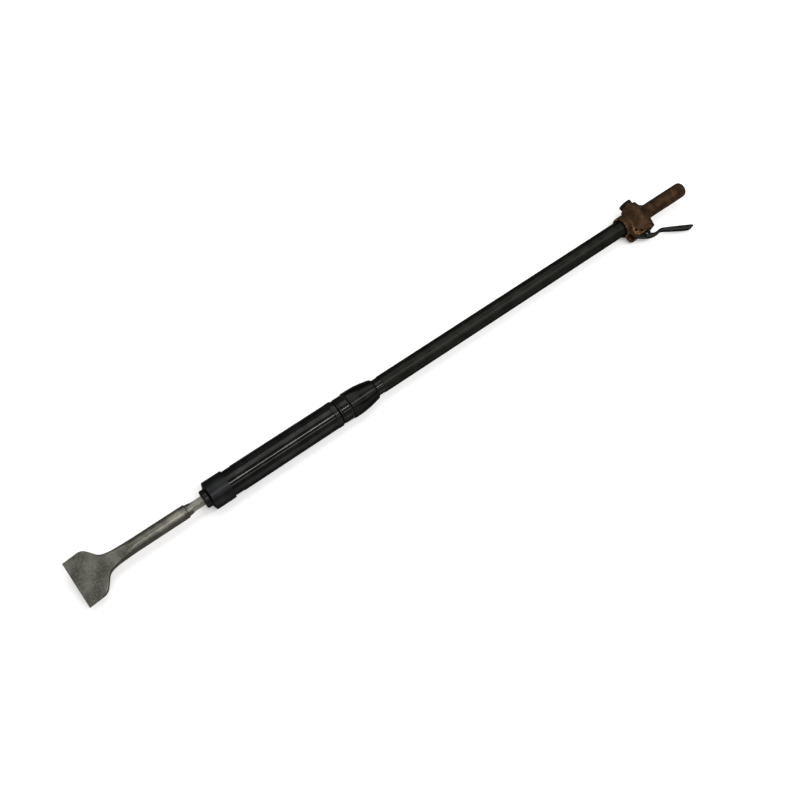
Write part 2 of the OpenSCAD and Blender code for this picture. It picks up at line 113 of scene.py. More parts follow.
def add_piece(name, points, faces, material, body, slot, replaces=(), sharp=35):
    """A mesh object from points in millimetres, smooth except at edges sharper than an angle."""
    mesh = bpy.data.meshes.new(name)
    mesh.from_pydata((np.asarray(points, float) * MM).tolist(), [], [list(map(int, f)) for f in faces])
    mesh.validate()
    mesh.shade_smooth()
    mesh.set_sharp_from_angle(angle=math.radians(sharp))
    mesh.materials.append(material)
    piece = bpy.data.objects.new(name, mesh)
    bpy.context.scene.collection.objects.link(piece)
    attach(piece, body)
    if replaces:
        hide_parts(*replaces)
    return piece


def fillet(before, corner, after, radius):
    """The arc that rounds a corner of a profile."""
    p, a, b = (np.array(v[:2], float) for v in (corner, before, after))
    u, v = (a - p) / np.linalg.norm(a - p), (b - p) / np.linalg.norm(b - p)
    half = math.acos(np.clip(u @ v, -1, 1)) / 2
    reach = min(radius / math.tan(half), 0.49 * np.linalg.norm(a - p), 0.49 * np.linalg.norm(b - p))
    radius = reach * math.tan(half)
    centre = p + (u + v) / np.linalg.norm(u + v) * radius / math.sin(half)
    start, end = p + u * reach - centre, p + v * reach - centre
    turn = math.atan2(start[0] * end[1] - start[1] * end[0], start @ end)
    return [centre + np.array([start[0] * math.cos(t) - start[1] * math.sin(t),
                               start[0] * math.sin(t) + start[1] * math.cos(t)])
            for t in np.linspace(0, turn, FILLET_POINTS)]


def profile(corners, closed=True, pitch=None):
    """A line through corners [x, radius, round]. Straight runs get a point near each end, and one
    at every pitch along them, so that smooth shading stays flat between the rounds."""
    n = len(corners)
    line = []
    for i, corner in enumerate(corners):
        inner = closed or 0 < i < n - 1
        if inner and len(corner) > 2 and corner[2] > 0:
            line += fillet(corners[i - 1], corner, corners[(i + 1) % n], corner[2])
        else:
            line.append(np.array(corner[:2], float))
    if closed:
        line.append(line[0])
    out = [line[0]]
    for a, b in zip(line, line[1:]):
        length = np.linalg.norm(b - a)
        stops = []
        if length > 1.6:
            stops = [0.35 / length, 1 - 0.35 / length]
            if pitch:
                stops += list(np.linspace(0, 1, int(length / pitch) + 1)[1:-1])
        out += [a + (b - a) * t for t in sorted(stops)] + [b]
    return np.array(out)


def turned(line, shape=None, sides=160):
    """Points and faces of a profile turned about X. shape(x, radius, angle) may change each radius."""
    closed = np.allclose(line[0], line[-1])
    if closed:
        line = line[:-1]
    angles = np.linspace(0, 2 * math.pi, sides, endpoint=False)
    points, rings = [], []
    for x, r in line:
        if r < 1e-6:
            rings.append([len(points)])
            points.append((x, 0, 0))
            continue
        radii = np.full(sides, r) if shape is None else shape(x, r, angles)
        rings.append(list(range(len(points), len(points) + sides)))
        points += [(x, q * math.cos(a), q * math.sin(a)) for q, a in zip(radii, angles)]
    faces = []
    pairs = list(zip(rings, rings[1:])) + ([(rings[-1], rings[0])] if closed else [])
    for one, two in pairs:
        for i in range(sides):
            j = (i + 1) % sides
            if len(one) == 1 and len(two) > 1:
                faces.append((one[0], two[j], two[i]))
            elif len(two) == 1 and len(one) > 1:
                faces.append((one[i], one[j], two[0]))
            elif len(one) > 1:
                faces.append((one[i], one[j], two[j], two[i]))
    return outward(np.array(points, float), faces)


def outward(points, faces):
    """Turns the faces over if they make a solid of negative volume."""
    volume = 0.0
    for f in faces:
        a = points[f[0]]
        for k in range(1, len(f) - 1):
            volume += a @ np.cross(points[f[k]], points[f[k + 1]])
    return points, (faces if volume > 0 else [f[::-1] for f in faces])


def placed(points, at, turn):
    """Points of a solid turned about X, with X laid along a new direction in the throttle's frame."""
    matrix = np.array(FROM_THROTTLE @ turn)
    return points @ matrix.T + np.array(FROM_THROTTLE @ Vector(at))


ALONG_LEVER = Matrix.Rotation(math.pi / 2, 3, "Z")     # lays X along the valve's axis
ACROSS_LEVER = Matrix.Rotation(-math.pi / 2, 3, "Y")   # lays X along the lever's pivot


def soft_min(a, b, k):
    h = np.clip(0.5 + 0.5 * (b - a) / k, 0, 1)
    return b * (1 - h) + a * h - k * h * (1 - h)


def soft_max(a, b, k):
    return -soft_min(-a, -b, k)


def flats(across, sides, turn, k=0.5):
    """A shape for turned(): a prism of flat sides, met by the turned surface in a soft edge."""
    def shape(x, r, angles):
        off = (angles - turn + math.pi / sides) % (2 * math.pi / sides) - math.pi / sides
        return soft_min(np.full_like(angles, r), across / 2 / np.cos(off), k)
    return shape


# ---------------------------------------------------------------- solids sampled as distances
class Solid:
    """A box of sample points at a step, and the mesh of a solid from its distances there."""

    def __init__(self, low, high, step):
        self.low = np.array(low, float)
        self.step = step
        axes = [np.arange(a, b + step, step, dtype=np.float32) for a, b in zip(low, high)]
        self.x, self.y, self.z = np.meshgrid(*axes, indexing="ij", sparse=True)

    def bar(self, rho, along, r, start, end, rounding=0.0):
        """A round bar, from its distance off the axis and along it."""
        side = rho - r + rounding
        cap = np.abs(along - (start + end) / 2) - (end - start) / 2 + rounding
        outside = np.sqrt(np.maximum(side, 0) ** 2 + np.maximum(cap, 0) ** 2)
        return outside + np.minimum(np.maximum(side, cap), 0) - rounding

    def bar_x(self, r, start, end, y=0.0, z=0.0, rounding=0.0):
        return self.bar(np.hypot(self.y - y, self.z - z), self.x, r, start, end, rounding)

    def bar_y(self, r, start, end, x=0.0, z=0.0, rounding=0.0):
        return self.bar(np.hypot(self.x - x, self.z - z), self.y, r, start, end, rounding)

    def bar_z(self, r, start, end, x=0.0, y=0.0, rounding=0.0):
        return self.bar(np.hypot(self.x - x, self.y - y), self.z, r, start, end, rounding)

    def block(self, low, high, rounding=0.0, z=None):
        sides = []
        for value, a, b in zip((self.x, self.y, self.z if z is None else z), low, high):
            sides.append(np.abs(value - (a + b) / 2) - (b - a) / 2 + rounding)
        outside = np.sqrt(sum(np.maximum(s, 0) ** 2 for s in sides))
        inside = np.minimum(np.maximum(np.maximum(sides[0], sides[1]), sides[2]), 0)
        return outside + inside - rounding

    def mesh(self, distance):
        band = 3 * self.step
        values = np.ascontiguousarray(np.clip(distance, -band, band), dtype=np.float32)
        grid = openvdb.FloatGrid(band)
        grid.copyFromArray(values)
        points, quads = grid.convertToQuads(0.0)
        points = points * self.step + self.low
        return outward_fast(points.astype(float), quads)


def outward_fast(points, quads):
    """As outward(), for an array of four-sided faces."""
    a, b, c, d = (points[quads[:, i]] for i in range(4))
    volume = np.einsum("ij,ij->", a, np.cross(b, c)) + np.einsum("ij,ij->", a, np.cross(c, d))
    return points, (quads if volume > 0 else quads[:, ::-1])


def inside_outline(grid_x, grid_y, outline):
    """Signed distance to a closed outline, below zero inside it."""
    best = np.full(np.broadcast(grid_x, grid_y).shape, 1e9, np.float32)
    odd = np.zeros(best.shape, bool)
    for (ax, ay), (bx, by) in zip(outline, np.roll(outline, -1, axis=0)):
        ex, ey = bx - ax, by - ay
        t = np.clip(((grid_x - ax) * ex + (grid_y - ay) * ey) / (ex * ex + ey * ey), 0, 1)
        best = np.minimum(best, np.hypot(grid_x - ax - t * ex, grid_y - ay - t * ey))
        if ay != by:
            crosses = (ay > grid_y) != (by > grid_y)
            odd ^= crosses & (grid_x < ax + (grid_y - ay) / ey * ex)
    return np.where(odd, -best, best)


def smoothed(corners, rounds=3):
    """A closed outline with its corners cut off again and again."""
    line = np.array(corners, float)
    for _ in range(rounds):
        after = np.roll(line, -1, axis=0)
        line = np.stack([0.75 * line + 0.25 * after, 0.25 * line + 0.75 * after], 1).reshape(-1, 2)
    return line


def roughen(piece, size, height, seed=0.0):
    """Moves each point along its normal by noise, with bumps of a size and height in millimetres."""
    mesh = piece.data
    co = np.zeros(len(mesh.vertices) * 3)
    normals = np.zeros(len(mesh.vertices) * 3)
    mesh.vertices.foreach_get("co", co)
    mesh.vertices.foreach_get("normal", normals)
    co, normals = co.reshape(-1, 3), normals.reshape(-1, 3)
    lift = np.array([noise.noise(Vector(p) / (size * MM) + Vector((seed, seed, seed))) for p in co])
    mesh.vertices.foreach_set("co", (co + normals * (lift * height * MM)[:, None]).ravel())
    mesh.update()


def mark_worn(piece, rounds, full):
    """Writes an attribute, worn, from 0 to 1 on the outer edges: how far each point stands out of
    the surface smoothed so many times, as a share of a full distance in millimetres."""
    mesh = piece.data
    n = len(mesh.vertices)
    co = np.zeros(n * 3)
    normals = np.zeros(n * 3)
    edges = np.zeros(len(mesh.edges) * 2, int)
    mesh.vertices.foreach_get("co", co)
    mesh.vertices.foreach_get("normal", normals)
    mesh.edges.foreach_get("vertices", edges)
    co, normals, edges = co.reshape(-1, 3), normals.reshape(-1, 3), edges.reshape(-1, 2)
    count = np.bincount(edges.ravel(), minlength=n)
    smooth = co.copy()
    for _ in range(rounds):
        total = np.zeros_like(smooth)
        for axis in range(3):
            total[:, axis] = (np.bincount(edges[:, 0], smooth[edges[:, 1], axis], n)
                              + np.bincount(edges[:, 1], smooth[edges[:, 0], axis], n))
        smooth = total / np.maximum(count, 1)[:, None]
    out = np.einsum("ij,ij->i", co - smooth, normals) / MM
    attribute = mesh.attributes.new("worn", "FLOAT", "POINT")
    attribute.data.foreach_set("value", np.clip(out / full, 0, 1).astype(np.float32))


# ---------------------------------------------------------------- materials
class Paint:
    """A material and short ways to add the nodes that its surface needs."""

    def __init__(self, name, **sockets):
        self.material = bpy.data.materials.new(name)
        self.material.use_nodes = True
        self.nodes = self.material.node_tree.nodes
        self.links = self.material.node_tree.links
        self.shader = self.nodes["Principled BSDF"]
        self.place = self.nodes.new("ShaderNodeTexCoord").outputs["Object"]
        for socket, value in sockets.items():
            self.shader.inputs[socket.replace("_", " ")].default_value = value

    def put(self, value, socket):
        if isinstance(value, bpy.types.NodeSocket):
            self.links.new(value, socket)
        else:
            socket.default_value = value

    def noise(self, size, detail=4.0, stretch=(1, 1, 1), rough=0.5, seed=0.0):
        """Noise with features of a size in millimetres, drawn out by stretch."""
        mapping = self.nodes.new("ShaderNodeMapping")
        mapping.inputs["Location"].default_value = (seed, seed, seed)
        mapping.inputs["Scale"].default_value = [1 / (size * MM * s) for s in stretch]
        self.links.new(self.place, mapping.inputs["Vector"])
        node = self.nodes.new("ShaderNodeTexNoise")
        node.inputs["Scale"].default_value = 1.0
        node.inputs["Detail"].default_value = detail
        node.inputs["Roughness"].default_value = rough
        self.links.new(mapping.outputs[0], node.inputs["Vector"])
        return node.outputs[0]

    def pits(self, size):
        """Distance from the points of a scattered pattern, as for pits in a surface."""
        mapping = self.nodes.new("ShaderNodeMapping")
        mapping.inputs["Scale"].default_value = [1 / (size * MM)] * 3
        self.links.new(self.place, mapping.inputs["Vector"])
        node = self.nodes.new("ShaderNodeTexVoronoi")
        node.inputs["Scale"].default_value = 1.0
        self.links.new(mapping.outputs[0], node.inputs["Vector"])
        return node.outputs["Distance"]

    def attribute(self, name):
        node = self.nodes.new("ShaderNodeAttribute")
        node.attribute_name = name
        return node.outputs["Fac"]

    def step(self, value, low, high, out_low=0.0, out_high=1.0):
        """A value spread from one range to another, held at both ends."""
        node = self.nodes.new("ShaderNodeMapRange")
        node.interpolation_type = "SMOOTHSTEP"
        self.put(value, node.inputs["Value"])
        numbers = {"From Min": low, "From Max": high, "To Min": out_low, "To Max": out_high}
        for socket, number in numbers.items():
            node.inputs[socket].default_value = number
        return node.outputs["Result"]

    def math(self, operation, a, b=0.0):
        node = self.nodes.new("ShaderNodeMath")
        node.operation = operation
        self.put(a, node.inputs[0])
        self.put(b, node.inputs[1])
        return node.outputs[0]

    def mix(self, share, a, b):
        node = self.nodes.new("ShaderNodeMix")
        node.data_type = "RGBA"
        self.put(share, node.inputs["Factor"])
        self.put(a if isinstance(a, bpy.types.NodeSocket) else (*a, 1), node.inputs["A"])
        self.put(b if isinstance(b, bpy.types.NodeSocket) else (*b, 1), node.inputs["B"])
        return node.outputs["Result"]

    def bump(self, height, distance, strength=1.0):
        """Bumps of a distance in millimetres, added to the ones already there."""
        node = self.nodes.new("ShaderNodeBump")
        node.inputs["Strength"].default_value = strength
        node.inputs["Distance"].default_value = distance * MM
        self.links.new(height, node.inputs["Height"])
        normal = self.shader.inputs["Normal"]
        if normal.is_linked:
            self.links.new(normal.links[0].from_socket, node.inputs["Normal"])
        self.links.new(node.outputs[0], normal)

    def colour(self, value):
        self.put(value, self.shader.inputs["Base Color"])

    def roughness(self, value):
        self.put(value, self.shader.inputs["Roughness"])


def cast_bronze():
    """Sand-cast bronze with a brown patina, worn bright where hands and bench meet it, with painted highlights
    beside the lever's pins and along the near cheek's front.
    """
    paint = Paint("cast_bronze", Metallic=0.75)
    paint.shader.inputs["Specular Tint"].default_value = (0.2, 0.15, 0.1, 1)
    paint.shader.inputs["Specular IOR Level"].default_value = 0.15
    cloud = paint.noise(14, detail=5)
    patch = paint.noise(5, detail=6, seed=3.1)
    grain = paint.noise(0.9, detail=3, seed=7.7)
    brown = paint.mix(paint.step(cloud, 0.35, 0.68), (0.024, 0.0135, 0.0075), (0.054, 0.031, 0.0170))
    brown = paint.mix(paint.step(patch, 0.5, 0.8, 0, 0.5), brown, (0.10, 0.050, 0.021))
    worn = paint.math("MULTIPLY", paint.attribute("worn"), paint.step(patch, 0.35, 0.7))
    polish_highlight_patches = paint.step(paint.noise(2.2, detail=5, rough=0.6, seed=12.0), 0.47, 0.6)
    polish_and_highlight = paint.math("MULTIPLY", paint.attribute("rubbed_and_highlight"), polish_highlight_patches)
    rubbed_and_highlight = paint.math("MAXIMUM", paint.step(worn, 0.25, 0.95, 0, 0.5), polish_and_highlight)
    # bright orange bronze on the worn edges, and on the spots by the pins and along the near cheek's front, where
    # it is real polish and also a painted highlight
    colour = paint.mix(rubbed_and_highlight, brown, (0.46, 0.22, 0.085))
    paint.colour(paint.mix(paint.step(grain, 0.3, 0.5, 0.45, 0), colour, (0.012, 0.007, 0.004)))
    paint.roughness(paint.math("SUBTRACT", paint.step(cloud, 0.3, 0.7, 0.50, 0.62),
                               paint.math("MULTIPLY", rubbed_and_highlight, 0.2)))
    paint.bump(grain, 0.10, 0.5)
    paint.bump(paint.noise(2.6, detail=4, seed=1.3), 0.18, 0.5)
    return paint.material


def black_oxide(name, base, rough, mottle, grain=0.02, scratches=0.0, glow=(0.07, 0.068, 0.064)):
    """Oil-blackened steel: a near-black film, mottled, and scratched along the tool where it slides."""
    paint = Paint(name, Metallic=0.92)
    paint.shader.inputs["Specular Tint"].default_value = (0.1, 0.1, 0.1, 1)
    cloud = paint.noise(22, detail=6, rough=0.6)
    fine = paint.noise(1.4, detail=4, seed=2.2)
    dark = tuple(0.7 * c for c in base)
    light = tuple(1.35 * c for c in base)
    colour = paint.mix(paint.step(cloud, 0.3, 0.72), dark, light)
    colour = paint.mix(paint.step(fine, 0.5, 0.8, 0, mottle), colour, glow)
    if scratches:
        streak = paint.noise(1.1, detail=2, stretch=(60, 1, 1), seed=5.0)
        broken = paint.noise(40, detail=4, seed=9.0)
        marks = paint.math("MULTIPLY", paint.step(streak, 0.62, 0.72), paint.step(broken, 0.48, 0.62))
        colour = paint.mix(paint.math("MULTIPLY", marks, scratches), colour, (0.16, 0.15, 0.13))
    paint.colour(colour)
    paint.roughness(paint.step(cloud, 0.3, 0.7, rough * 0.85, rough * 1.2))
    paint.bump(fine, grain, 0.5)
    return paint.material


def forged_steel():
    """Forged steel under thin grey scale: cloudy, pitted and lighter in worn patches. Its sides go near black:
    forge scale on the blade, painted shade on the round shank.
    """
    paint = Paint("forged_steel", Metallic=1.0)
    paint.shader.inputs["Specular Tint"].default_value = (0.5, 0.5, 0.48, 1)
    cloud = paint.noise(22, detail=5, rough=0.55)
    speck = paint.noise(2.4, detail=5, rough=0.6, seed=4.4)
    streak = paint.noise(2.0, detail=4, stretch=(9, 1, 1), seed=8.0)
    grey = paint.mix(paint.step(cloud, 0.3, 0.72), (0.076, 0.074, 0.062), (0.168, 0.164, 0.142))
    grey = paint.mix(paint.step(speck, 0.5, 0.68, 0, 0.45), grey, (0.23, 0.225, 0.200))
    grey = paint.mix(paint.step(speck, 0.44, 0.30, 0, 0.7), grey, (0.040, 0.038, 0.032))
    grey = paint.mix(paint.step(streak, 0.55, 0.75, 0, 0.3), grey, (0.16, 0.14, 0.13))
    # painted shade: the sides darken towards near black, which is forge scale on the blade and painted shade on
    # the round shank
    paint.colour(paint.mix(paint.step(paint.attribute("scale_and_shade"), 0, 1, 0, 0.8), grey, (0.028, 0.027, 0.024)))
    paint.roughness(paint.step(speck, 0.3, 0.7, 0.34, 0.44))
    paint.bump(speck, 0.035, 0.5)
    paint.bump(paint.pits(2.8), 0.02, 0.4)
    return paint.material


def parkerised_steel():
    """Dark grey phosphated steel, slightly grainy, paler where fingers wear it."""
    paint = Paint("parkerised_steel", Metallic=0.9)
    paint.shader.inputs["Specular Tint"].default_value = (0.1, 0.1, 0.1, 1)
    paint.shader.inputs["Specular IOR Level"].default_value = 0.25
    cloud = paint.noise(9, detail=5)
    grain = paint.noise(0.7, detail=3, seed=6.0)
    colour = paint.mix(paint.step(cloud, 0.3, 0.7), (0.009, 0.009, 0.0085), (0.020, 0.020, 0.019))
    colour = paint.mix(paint.step(paint.attribute("worn"), 0.2, 0.9, 0, 0.5), colour, (0.09, 0.09, 0.085))
    paint.colour(paint.mix(paint.step(grain, 0.5, 0.75, 0, 0.4), colour, (0.035, 0.035, 0.033)))
    paint.roughness(paint.step(cloud, 0.3, 0.7, 0.42, 0.55))
    paint.bump(grain, 0.05, 0.5)
    return paint.material


def ground_steel():
    """Ground bright steel with fine marks round the part."""
    paint = Paint("ground_steel", Metallic=1.0)
    marks = paint.noise(0.25, detail=2, stretch=(1, 30, 30))
    paint.colour(paint.mix(paint.step(marks, 0.3, 0.7), (0.42, 0.42, 0.43), (0.62, 0.62, 0.63)))
    paint.roughness(paint.step(marks, 0.3, 0.7, 0.22, 0.34))
    paint.bump(marks, 0.01, 0.5)
    return paint.material


def black_rubber():
    paint = Paint("black_rubber")
    paint.shader.inputs["Specular IOR Level"].default_value = 0.25
    grain = paint.noise(0.8, detail=3)
    paint.colour(paint.mix(paint.step(grain, 0.35, 0.7), (0.010, 0.010, 0.010), (0.026, 0.026, 0.026)))
    paint.roughness(paint.step(grain, 0.3, 0.7, 0.6, 0.8))
    paint.bump(grain, 0.04, 0.5)
    return paint.material


def oiled_fibre():
    paint = Paint("oiled_fibre")
    grain = paint.noise(0.6, detail=4, stretch=(1, 3, 3))
    paint.colour(paint.mix(paint.step(grain, 0.3, 0.7), (0.030, 0.014, 0.010), (0.055, 0.026, 0.018)))
    paint.roughness(paint.step(grain, 0.3, 0.7, 0.6, 0.8))
    paint.bump(grain, 0.04, 0.5)
    return paint.material


def pale_floor():
    paint = Paint("pale_floor", Roughness=0.9)
    paint.shader.inputs["Specular IOR Level"].default_value = 0.1
    paint.shader.inputs["Emission Color"].default_value = (1, 1, 1, 1)
    paint.shader.inputs["Emission Strength"].default_value = 0.18
    paint.colour(paint.mix(paint.noise(900, detail=1), (0.87, 0.87, 0.87), (0.89, 0.89, 0.89)))
    return paint.material


BRONZE = cast_bronze()
GLOSS_BLACK = black_oxide("gloss_black_oxide", (0.0165, 0.0170, 0.0165), 0.11, 0.04, grain=0.001)
SATIN_BLACK = black_oxide("satin_black_oxide", (0.0160, 0.0162, 0.0150), 0.27, 0.10, grain=0.008)
COUPLING_BLACK = black_oxide("coupling_black_oxide", (0.0100, 0.0102, 0.0094), 0.22, 0.10, grain=0.008)
SLEEVE_BLACK = black_oxide("sleeve_black_oxide", (0.0155, 0.0160, 0.0170), 0.38, 0.10)
TUBE_BLACK = black_oxide("tube_black_oxide", (0.0120, 0.0122, 0.0106), 0.38, 0.15, scratches=0.25)
FORGED = forged_steel()
DARK_STEEL = parkerised_steel()
BRIGHT_STEEL = ground_steel()
RUBBER = black_rubber()
FIBRE = oiled_fibre()

CAD_MATERIALS = {
    "forged": FORGED, "black_steel": GLOSS_BLACK, "satin_black": SATIN_BLACK, "tube_black": TUBE_BLACK,
    "bronze": BRONZE, "dark_steel": DARK_STEEL, "bright_steel": BRIGHT_STEEL, "rubber": RUBBER,
    "fibre": FIBRE,
}


def paint_cad_nodes():
    """Each CAD node takes the procedural material of its slot in the record."""
    for part in frame["record"]["subparts"]:
        node = frame["nodes"][part["node"]]
        node.data.materials.clear()
        node.data.materials.append(CAD_MATERIALS[part["material_slot"]])


# ---------------------------------------------------------------- chisel
BLADE_ROLL = math.radians(-15)
SHANK_R = 11.1
SHANK_REAR = 28.0          # from the nose to the rear of the round shank
HEX_AF = 14.7
# Half width of the blade at distances from the cutting edge
WIDTH_AT = [(0, 38.1), (24, 38.1), (27, 37.7), (30, 36.6), (33, 34.8), (36, 31.7), (39, 28.0), (42, 23.9),
            (45, 20.0), (48, 17.1), (52, 15.0), (59, 13.2), (66, 12.2), (78, 11.6), (97, 11.1)]
# Half thickness of the flat faces
FLAT_AT = [(0, 0.7), (4, 1.15), (12, 2.0), (30, 3.9), (50, 6.0), (60, 7.0), (70, 8.0), (80, 9.2), (90, 10.4),
           (97, 11.3), (110, 13.5)]
DRIFT, DRIFT_END = 3.4, 50.0


def smooth_table(table, at):
    """A smooth curve through the points of a table, by cubic Hermite pieces that don't overshoot."""
    xs, ys = np.array(table, float).T
    slopes = np.diff(ys) / np.diff(xs)
    tangents = np.zeros_like(xs)
    tangents[0], tangents[-1] = slopes[0], slopes[-1]
    for i in range(1, len(xs) - 1):
        a, b = slopes[i - 1], slopes[i]
        tangents[i] = 0 if a * b <= 0 else 2 * a * b / (a + b)
    i = np.clip(np.searchsorted(xs, at) - 1, 0, len(xs) - 2)
    h = xs[i + 1] - xs[i]
    t = np.clip((at - xs[i]) / h, 0, 1)
    return ((1 + 2 * t) * (1 - t) ** 2 * ys[i] + t * (1 - t) ** 2 * h * tangents[i]
            + t * t * (3 - 2 * t) * ys[i + 1] - t * t * (1 - t) * h * tangents[i + 1])


def make_chisel():
    """The blade is a loft of flattened round sections, which becomes the round shank by itself."""
    sides = 144
    turn = np.linspace(0, 2 * math.pi, sides, endpoint=False)
    stations = np.concatenate([np.linspace(0, 2, 4)[:-1], np.linspace(2, 24, 23)[:-1],
                               np.linspace(24, 52, 64)[:-1], np.linspace(52, 110, 59)])
    rings = []
    for s in stations:
        half = float(smooth_table(WIDTH_AT, s)) if s < 97 else SHANK_R
        flat = float(smooth_table(FLAT_AT, s))
        bulge = SHANK_R + 1.6 * max(0.0, 1 - s / 60)
        y = half * np.cos(turn)
        round_z = bulge * np.abs(np.sin(turn))
        z = np.sign(np.sin(turn)) * soft_min(round_z, np.full(sides, flat), min(0.4, 0.4 * flat))
        y = y + DRIFT * max(0.0, 1 - s / DRIFT_END) ** 1.3
        rings.append(np.stack([np.full(sides, EDGE_X - s), y, z], 1))
    rear = NOSE_X + SHANK_REAR
    hex_shape = flats(HEX_AF, 6, math.pi / 6, 0.2)
    corner = HEX_AF / 2 / math.cos(math.pi / 6)

    def neck_down(x, r, angles):
        """The shank's cone, with a hollow flute that runs out of each flat of the hexagon."""
        d = max(0.0, x - (rear - 13))
        reach = HEX_AF / 2 + 15 - math.sqrt(max(15 ** 2 - d * d, 0))
        off = angles % (math.pi / 3) - math.pi / 6
        return soft_min(np.full_like(angles, r), reach / np.cos(off), 0.35)

    line = [(rear + 40, SHANK_R), (rear + 12, SHANK_R), (rear + 4, SHANK_R), (rear + 1.2, SHANK_R),
            (rear + 0.2, SHANK_R - 0.9), (rear + 0.1, 9.6), (rear - 0.5, 9.35), (rear - 3, 9.1),
            (rear - 5.5, corner + 0.3), (rear - 8, corner + 0.1), (rear - 10, corner), (rear - 13, corner),
            (rear - 20, corner), (NOSE_X + 2, corner), (NOSE_X - 1, corner)]
    fine = []
    for a, b in zip(line, line[1:]):
        count = max(1, int((a[0] - b[0]) / 0.8)) if a[0] <= rear + 4 else 2
        for t in np.linspace(0, 1, count + 1)[:-1]:
            fine.append((a[0] + (b[0] - a[0]) * t, a[1] + (b[1] - a[1]) * t))
    for x, r in fine:
        radii = neck_down(x, r, turn)
        rings.append(np.stack([np.full(sides, x), radii * np.cos(turn), radii * np.sin(turn)], 1))
    neck_x0 = NOSE_X - 22
    tail = [(NOSE_X - 1, corner, True), (NOSE_X - 1.2, 6.5, False), (neck_x0 + 0.3, 6.5, False),
            (neck_x0, corner, True), (SHANK_END_X + 9.5, corner, True), (SHANK_END_X + 9, 6.4, False),
            (SHANK_END_X + 0.8, 6.4, False), (SHANK_END_X, 5.6, False)]
    for x, r, hexed in tail:
        radii = hex_shape(x, r, turn) if hexed else np.full(sides, r)
        rings.append(np.stack([np.full(sides, x), radii * np.cos(turn), radii * np.sin(turn)], 1))
    points = np.concatenate(rings)
    spin = np.array(Matrix.Rotation(BLADE_ROLL, 3, "X"))
    blade = points[:, 0] > NOSE_X + SHANK_REAR + 6
    points[blade] = points[blade] @ spin.T
    faces = []
    for start in range(0, (len(rings) - 1) * sides, sides):
        for i in range(sides):
            j = (i + 1) % sides
            faces.append((start + i, start + j, start + sides + j, start + sides + i))
    faces.append(tuple(range(sides - 1, -1, -1)))
    last = (len(rings) - 1) * sides
    faces.append(tuple(range(last, last + sides)))
    points, faces = outward(points, faces)
    piece = add_piece("forged_chisel", points, faces, FORGED, "chisel", "forged", ["chisel"], sharp=40)
    # the chisel's sides go near black: forge scale on the blade, painted shade on the round shank
    mark_scale_and_shade(piece, Vector((0, -math.sin(BLADE_ROLL), math.cos(BLADE_ROLL))))


def mark_scale_and_shade(piece, up):
    """Writes an attribute from 0 to 1 on the sides, away from the two dressed faces that an axis
    stands on: the black forge scale left on the blade's sides, and painted shade on the round shank's sides."""
    mesh = piece.data
    values = []
    for vertex in mesh.vertices:
        facing = abs(vertex.normal @ up)
        behind = vertex.co.x / MM < NOSE_X + 20
        values.append(0.0 if behind else 1 - min(1.0, max(0.0, (facing - 0.66) / 0.22)))
    attribute = mesh.attributes.new("scale_and_shade", "FLOAT", "POINT")
    attribute.data.foreach_set("value", values)


# ---------------------------------------------------------------- nose, barrel, rings and tube
RIDGE_TURN = math.radians(27)    # centre of one flat of the coupling and the lock ring
SEAT_X = span("valve_seat_block")[1]


def make_sleeve():
    x0, x1 = SLEEVE_X, SLEEVE_FRONT_X
    line = profile([(x0, SLEEVE_BORE_R, 0.3), (x0, SLEEVE_R, 0.6), (x1 - 3.2, SLEEVE_R, 0.5),
                    (x1 - 2.4, SLEEVE_R - 0.9, 0.4), (x1, 16.6, 0.5), (x1 - 0.2, 15.1, 0.3),
                    (x1 - 4.2, 15.1, 0.1), (x1 - 4.2, SLEEVE_BORE_R, 0.2)], pitch=6)
    add_piece("sleeve", *turned(line), SLEEVE_BLACK, "hammer", "satin_black", ["retainer_sleeve"])


def make_bushing():
    """The guide's hub is rounded and has four small notches for a spanner."""
    x0, x1, f = BUSHING_X, NOSE_X, BARREL_FRONT_X

    def notched(x, r, angles):
        depth = np.clip((x - (x1 - 2.4)) / 0.5, 0, 1) * 1.6
        off = (angles + math.radians(20) + math.pi / 4) % (math.pi / 2) - math.pi / 4
        cut = depth * np.clip(1.6 - np.abs(off) * r / 1.1, 0, 1)
        return r - (cut if r > 9 else 0)

    bore = HEX_AF / 2 / math.cos(math.pi / 6) + 0.06
    line = profile([(x0, bore, 0), (x0, 14.27, 0.5), (f, 14.27, 0.2), (f, 19.4, 0.2), (f + 4, 19.4, 0.2),
                    (f + 4, 14.8, 0.3), (x1, 14.8, 2.6), (x1, bore, 0.9)], pitch=2)
    shape = flats(HEX_AF + 0.1, 6, math.pi / 6, 0.1)

    def both(x, r, angles):
        return shape(x, r, angles) if r < 9.2 else notched(x, r, angles)
    add_piece("bushing", *turned(line, both), SATIN_BLACK, "hammer", "satin_black", ["nose_bushing"])


def make_barrel():
    """A plain long cylinder with two spanner flats next to the sleeve."""
    across, turn = 42.2, math.radians(-24)

    def shape(x, r, angles):
        if r < 18.5 or not SLEEVE_X - 15 <= x <= SLEEVE_X + 0.1:
            return np.full_like(angles, r)
        off = (angles - turn + math.pi / 2) % math.pi - math.pi / 2
        return np.minimum(r, across / 2 / np.maximum(np.cos(off), 0.2))

    flat_x = SLEEVE_X - 15
    stops = [(BARREL_X + 2 + (flat_x - BARREL_X - 3) * t, BARREL_R) for t in np.linspace(0, 1, 24)]
    line = profile([(SPIGOT_X, VALVE_BORE_R, 0.3), (SPIGOT_X, 19, 0.8), (BARREL_X, 19, 0.1),
                    (BARREL_X, BARREL_R, 0.6)]
                   + stops + [(flat_x, BARREL_R), (flat_x + 0.1, BARREL_R), (SLEEVE_X - 0.02, BARREL_R, 0.2),
                              (SLEEVE_X, 20), (BARREL_FRONT_X, 20, 0.6), (BARREL_FRONT_X, GUIDE_R, 0.3),
                              (SEAT_X, GUIDE_R), (SEAT_X, VALVE_BORE_R)])
    add_piece("cylinder", *turned(line, shape, sides=192), GLOSS_BLACK, "hammer", "black_steel", ["barrel"])


